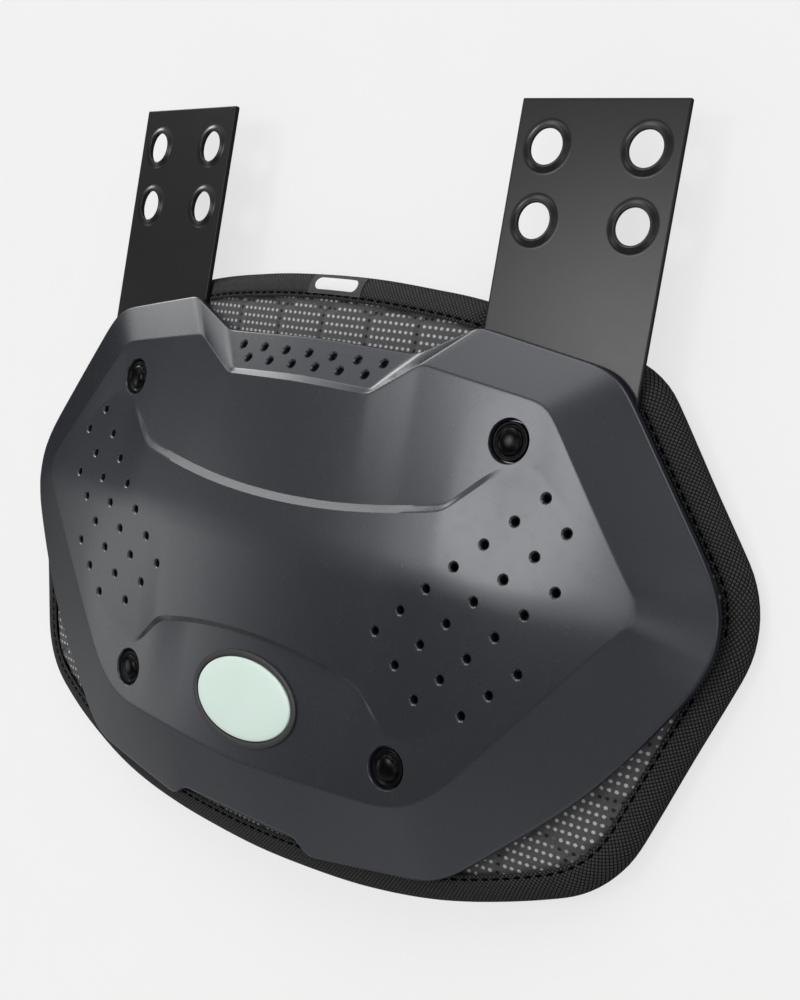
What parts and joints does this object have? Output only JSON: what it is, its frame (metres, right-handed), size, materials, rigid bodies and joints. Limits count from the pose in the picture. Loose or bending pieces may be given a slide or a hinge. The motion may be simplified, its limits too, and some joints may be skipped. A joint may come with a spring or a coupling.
{
  "type": "football back plate",
  "caption": "Curved perforated plastic shell riveted over a bound foam pad, with drilled hanger straps that bolt under shoulder pads to guard the lower back.",
  "frame": {"origin": "bottom centre of the bounding box, on the surface that the pad lies on", "axes": "+X across the back to the wearer's right seen from behind, +Y up the back towards the straps, +Z away from the back, out of the shell's face"},
  "size_m": [0.298, 0.232, 0.0314],
  "materials": {
    "shell": "satin moulded dark grey",
    "pad_mesh": "dark grey knitted mesh with light grey dots",
    "binding": "black woven tape",
    "label": "pale woven patch, bare",
    "strap": "semi-gloss dark grey sheet",
    "rivet": "gloss black",
    "badge_rim": "matte black",
    "badge": "satin off-white, bare"
  },
  "bodies": {
    "root": {"shell": "shell", "pad": "pad_mesh", "pad_binding": "binding", "label_patch": "label", "strap_left": "strap", "strap_right": "strap", "rivet_upper_left": "rivet", "rivet_upper_right": "rivet", "rivet_lower_left": "rivet", "rivet_lower_right": "rivet", "badge_rim": "badge_rim", "badge": "badge"}
  },
  "joints": []
}
